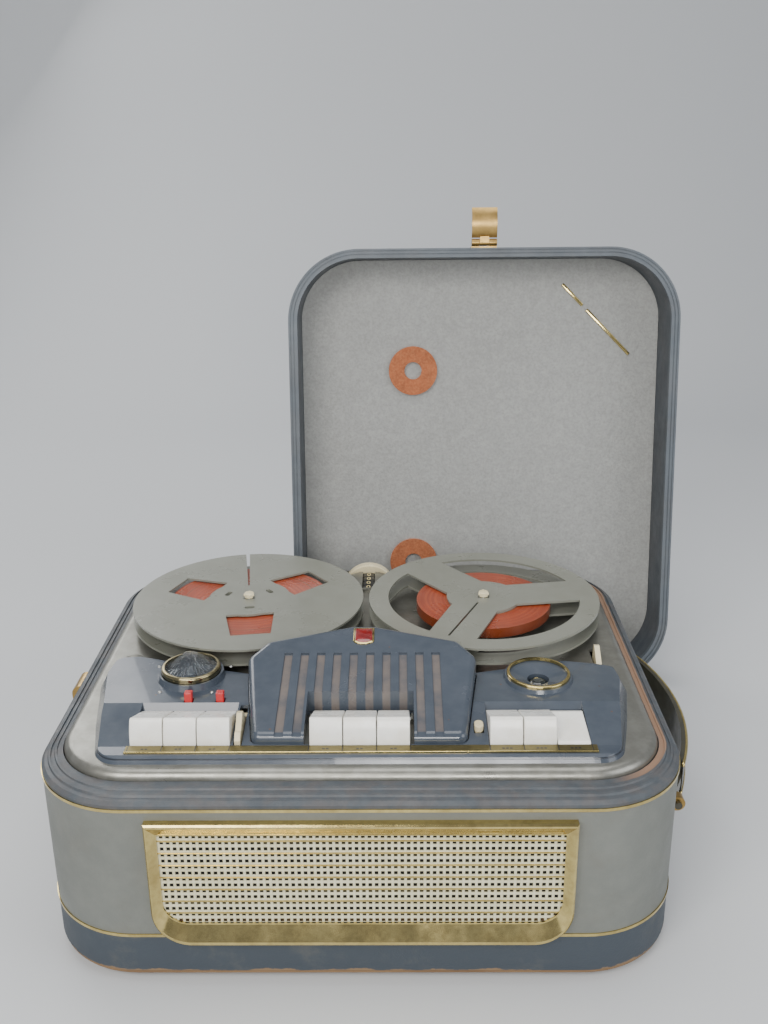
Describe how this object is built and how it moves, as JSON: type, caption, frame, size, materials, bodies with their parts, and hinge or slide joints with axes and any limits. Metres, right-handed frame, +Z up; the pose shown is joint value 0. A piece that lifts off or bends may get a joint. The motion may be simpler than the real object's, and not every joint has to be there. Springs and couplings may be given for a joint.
{
  "type": "reel to reel tape deck",
  "caption": "Portable suitcase tape recorder with two open reels, piano keys, front loudspeaker grille, side handle and its lid stood behind it.",
  "frame": {"origin": "on the floor, under the middle of the case", "axes": "+Z up; -Y towards the loudspeaker grille at the front; +X towards the end with the handle"},
  "size_m": [0.49, 0.4841, 0.4343],
  "materials": {
    "plywood": "satin",
    "black_rubber": "matte",
    "belt_rubber": "matte",
    "leathercloth": "matte",
    "gold_trim": "satin",
    "blue_moulding": "satin",
    "cream_mesh": "satin",
    "speaker_black": "matte",
    "steel": "satin",
    "plated_brass": "satin",
    "strap_plastic": "satin",
    "socket_board": "satin",
    "deck_paint": "satin",
    "blue_plastic": "gloss",
    "ivory_plastic": "gloss",
    "cream_plastic": "gloss",
    "red_plastic": "gloss",
    "clear_plastic": "gloss",
    "tube_glass": "gloss",
    "black_plastic": "gloss",
    "reel_plastic": "gloss",
    "tape": "satin",
    "plated_steel": "satin",
    "core_steel": "matte",
    "lid_cloth": "matte",
    "lining_board": "matte",
    "foam": "matte"
  },
  "bodies": {
    "case": {"case_shell": "plywood", "rubber_feet": "black_rubber", "case_covering": "leathercloth", "brass_beads": "gold_trim", "rim_moulding": "blue_moulding", "grille_frame": "gold_trim", "grille_lattice": "cream_mesh", "loudspeaker": "speaker_black", "handle_brackets": "plated_brass", "latch_keeper": "plated_brass", "socket_panel": "socket_board", "deck_plate": "deck_paint", "control_panel": "blue_plastic", "label_strip": "gold_trim", "head_cover": "blue_plastic", "key_rods": "steel", "indicator_ring": "gold_trim", "indicator_tube": "tube_glass", "mechanism_plate": "plated_steel", "motor": "plated_steel", "drive_belt": "belt_rubber", "tape_heads": "steel", "valves": "tube_glass", "mains_transformer": "core_steel"},
    "lid": {"lid_shell": "lid_cloth", "lid_rim": "blue_moulding", "lid_lining": "lining_board", "lid_reel_pads": "foam", "latch_hinge": "plated_brass"},
    "latch": {"latch_hasp": "plated_brass"},
    "handle": {"handle_strap": "strap_plastic"},
    "pause": {"pause_lever": "cream_plastic"},
    "record": {"record_button": "cream_plastic"},
    "red_left": {"red_button_left": "red_plastic"},
    "red_right": {"red_button_right": "red_plastic"},
    "selector": {"selector_lever": "cream_plastic"},
    "volume": {"knob_dish": "blue_plastic", "knob_ring": "gold_trim", "knob_cone": "clear_plastic"},
    "supply_reel": {"left_turntable": "steel", "left_reel": "reel_plastic", "left_tape_pack": "tape"},
    "take_up_reel": {"right_turntable": "steel", "right_reel": "reel_plastic", "right_tape_pack": "tape"},
    "counter": {"counter_drums": "black_plastic", "counter_wheel": "cream_plastic"},
    "capstan": {"flywheel": "steel"},
    "pulley": {"motor_pulley": "steel"},
    "pinch": {"pinch_arm": "steel"},
    "pinch_wheel": {"pinch_roller": "black_rubber"},
    "key_left_1_lever": {"key_left_1": "ivory_plastic"},
    "key_left_2_lever": {"key_left_2": "ivory_plastic"},
    "key_left_3_lever": {"key_left_3": "ivory_plastic"},
    "key_centre_1_lever": {"key_centre_1": "ivory_plastic"},
    "key_centre_2_lever": {"key_centre_2": "ivory_plastic"},
    "key_centre_3_lever": {"key_centre_3": "ivory_plastic"},
    "key_right_1_lever": {"key_right_1": "ivory_plastic"},
    "key_right_2_lever": {"key_right_2": "ivory_plastic"},
    "key_right_3_lever": {"key_right_3": "ivory_plastic"}
  },
  "joints": [
    {"name": "lid_lift", "type": "slide", "parent": "case", "child": "lid", "axis": [0, 0, 1], "range_m": [0, 0.15]},
    {"name": "latch_hinge_turn", "type": "hinge", "parent": "lid", "child": "latch", "pos_m": [0.102, 0.25804, 0.40505], "axis": [1, 0, 0], "range_deg": [-45, 90]},
    {"name": "handle_swing", "type": "hinge", "parent": "case", "child": "handle", "pos_m": [0.2072, 0, 0.084], "axis": [0, 1, 0], "range_deg": [-40, 40]},
    {"name": "key_left_1_press", "type": "hinge", "parent": "case", "child": "key_left_1_lever", "pos_m": [-0.1331, -0.092, 0.139], "axis": [1, 0, 0], "range_deg": [0, 27.5], "stiffness_Nm_per_rad": 0.06, "springref_deg": -11.46},
    {"name": "key_left_2_press", "type": "hinge", "parent": "case", "child": "key_left_2_lever", "pos_m": [-0.112, -0.092, 0.139], "axis": [1, 0, 0], "range_deg": [0, 27.5], "stiffness_Nm_per_rad": 0.06, "springref_deg": -11.46},
    {"name": "key_left_3_press", "type": "hinge", "parent": "case", "child": "key_left_3_lever", "pos_m": [-0.0909, -0.092, 0.139], "axis": [1, 0, 0], "range_deg": [0, 27.5], "stiffness_Nm_per_rad": 0.06, "springref_deg": -11.46},
    {"name": "key_centre_1_press", "type": "hinge", "parent": "case", "child": "key_centre_1_lever", "pos_m": [-0.0206, -0.092, 0.139], "axis": [1, 0, 0], "range_deg": [0, 27.5], "stiffness_Nm_per_rad": 0.06, "springref_deg": -11.46},
    {"name": "key_centre_2_press", "type": "hinge", "parent": "case", "child": "key_centre_2_lever", "pos_m": [0.0005, -0.092, 0.139], "axis": [1, 0, 0], "range_deg": [0, 27.5], "stiffness_Nm_per_rad": 0.06, "springref_deg": -11.46},
    {"name": "key_centre_3_press", "type": "hinge", "parent": "case", "child": "key_centre_3_lever", "pos_m": [0.0216, -0.092, 0.139], "axis": [1, 0, 0], "range_deg": [0, 27.5], "stiffness_Nm_per_rad": 0.06, "springref_deg": -11.46},
    {"name": "key_right_1_press", "type": "hinge", "parent": "case", "child": "key_right_1_lever", "pos_m": [0.0919, -0.092, 0.139], "axis": [1, 0, 0], "range_deg": [0, 27.5], "stiffness_Nm_per_rad": 0.06, "springref_deg": -11.46},
    {"name": "key_right_2_press", "type": "hinge", "parent": "case", "child": "key_right_2_lever", "pos_m": [0.113, -0.092, 0.139], "axis": [1, 0, 0], "range_deg": [0, 27.5], "stiffness_Nm_per_rad": 0.06, "springref_deg": -11.46},
    {"name": "key_right_3_press", "type": "hinge", "parent": "case", "child": "key_right_3_lever", "pos_m": [0.1341, -0.092, 0.139], "axis": [1, 0, 0], "range_deg": [-27.5, 0]},
    {"name": "pause_press", "type": "hinge", "parent": "case", "child": "pause", "pos_m": [-0.076, -0.092, 0.139], "axis": [1, 0, 0], "range_deg": [0, 15], "stiffness_Nm_per_rad": 0.03, "springref_deg": -11.46},
    {"name": "record_press", "type": "slide", "parent": "case", "child": "record", "axis": [0, 0, -1], "range_m": [0, 0.003], "stiffness_N_per_m": 100, "springref_m": -0.002},
    {"name": "red_left_press", "type": "slide", "parent": "case", "child": "red_left", "axis": [0, 0, -1], "range_m": [0, 0.004], "stiffness_N_per_m": 100, "springref_m": -0.002},
    {"name": "red_right_press", "type": "slide", "parent": "case", "child": "red_right", "axis": [0, 0, -1], "range_m": [0, 0.004], "stiffness_N_per_m": 100, "springref_m": -0.002},
    {"name": "selector_turn", "type": "hinge", "parent": "case", "child": "selector", "pos_m": [0.1685, -0.005, 0.128], "axis": [1, 0, 0], "range_deg": [-25, 0]},
    {"name": "volume_turn", "type": "hinge", "parent": "case", "child": "volume", "pos_m": [-0.118, -0.047, 0.15], "axis": [0, 0, 1], "range_deg": [-140, 140]},
    {"name": "supply_reel_spin", "type": "hinge", "parent": "case", "child": "supply_reel", "pos_m": [-0.0913, 0.06, 0.15], "axis": [0, 0, 1], "continuous": true},
    {"name": "take_up_reel_spin", "type": "hinge", "parent": "case", "child": "take_up_reel", "pos_m": [0.0913, 0.06, 0.15], "axis": [0, 0, 1], "continuous": true},
    {"name": "counter_spin", "type": "hinge", "parent": "case", "child": "counter", "pos_m": [0, 0.13, 0.1235], "axis": [0, 1, 0], "continuous": true},
    {"name": "capstan_spin", "type": "hinge", "parent": "case", "child": "capstan", "pos_m": [0.03, -0.052, 0.095], "axis": [0, 0, 1], "continuous": true},
    {"name": "motor_spin", "type": "hinge", "parent": "case", "child": "pulley", "pos_m": [-0.075, 0.01, 0.095], "axis": [0, 0, 1], "continuous": true},
    {"name": "pinch_swing", "type": "hinge", "parent": "case", "child": "pinch", "pos_m": [0.05, -0.066, 0.141], "axis": [0, 0, 1], "range_deg": [0, 6]},
    {"name": "pinch_roller_spin", "type": "hinge", "parent": "pinch", "child": "pinch_wheel", "pos_m": [0.0416, -0.0434, 0.15], "axis": [0, 0, 1], "continuous": true}
  ],
  "couplings": [
    {"joint": "motor_spin", "follows": "capstan_spin", "ratio": 5.8},
    {"joint": "pinch_swing", "follows": "key_centre_1_press", "ratio": 0.216},
    {"joint": "counter_spin", "follows": "take_up_reel_spin", "ratio": 1}
  ]
}
